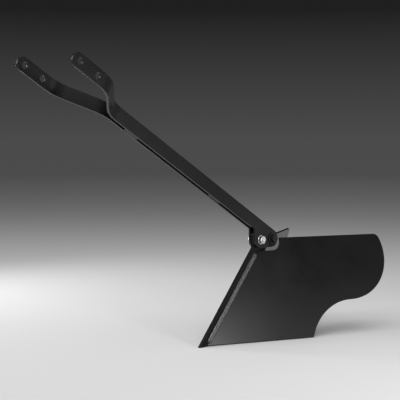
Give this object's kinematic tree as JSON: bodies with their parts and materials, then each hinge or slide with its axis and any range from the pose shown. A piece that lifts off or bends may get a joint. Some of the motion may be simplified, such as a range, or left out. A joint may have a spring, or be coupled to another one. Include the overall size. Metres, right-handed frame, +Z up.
{
  "type": "tiller ridger",
  "caption": "V-shaped ridging plough for a walk-behind tiller, towed by a forked flat-bar shank, with a pitch pivot and a lock bolt in an arc slot.",
  "frame": {"origin": "on the ground, under the middle of the whole ridger's box", "axes": "+Z up, the tip and the hitch point along -Y, +X is the ridger's left, X = 0 is its middle plane"},
  "size_m": [0.25, 0.7128, 0.4641],
  "materials": {
    "plough_paint": "satin black powder coat on steel plate",
    "shank_paint": "satin black powder coat on flat bar",
    "dark_bolt": "blackened steel, slightly oily",
    "bright_bolt": "bright zinc plate"
  },
  "bodies": {
    "shank": {"shank_flat_left": "shank_paint", "shank_flat_right": "shank_paint", "spacer_lower": "shank_paint", "spacer_upper": "shank_paint", "pivot_bolt": "dark_bolt", "pivot_nut": "dark_bolt", "pivot_washer_left": "dark_bolt", "pivot_washer_right": "dark_bolt", "lock_bolt": "bright_bolt", "lock_nut": "bright_bolt", "lock_washer_left": "bright_bolt", "lock_washer_right": "bright_bolt"},
    "plough": {"knife": "plough_paint", "wing_left": "plough_paint", "wing_right": "plough_paint", "rear_brace": "plough_paint"}
  },
  "joints": [
    {"name": "pitch", "type": "hinge", "parent": "shank", "child": "plough", "pos_m": [0, 0.1601, 0.1695], "axis": [1, 0, 0], "range_deg": [-6, 6]}
  ]
}
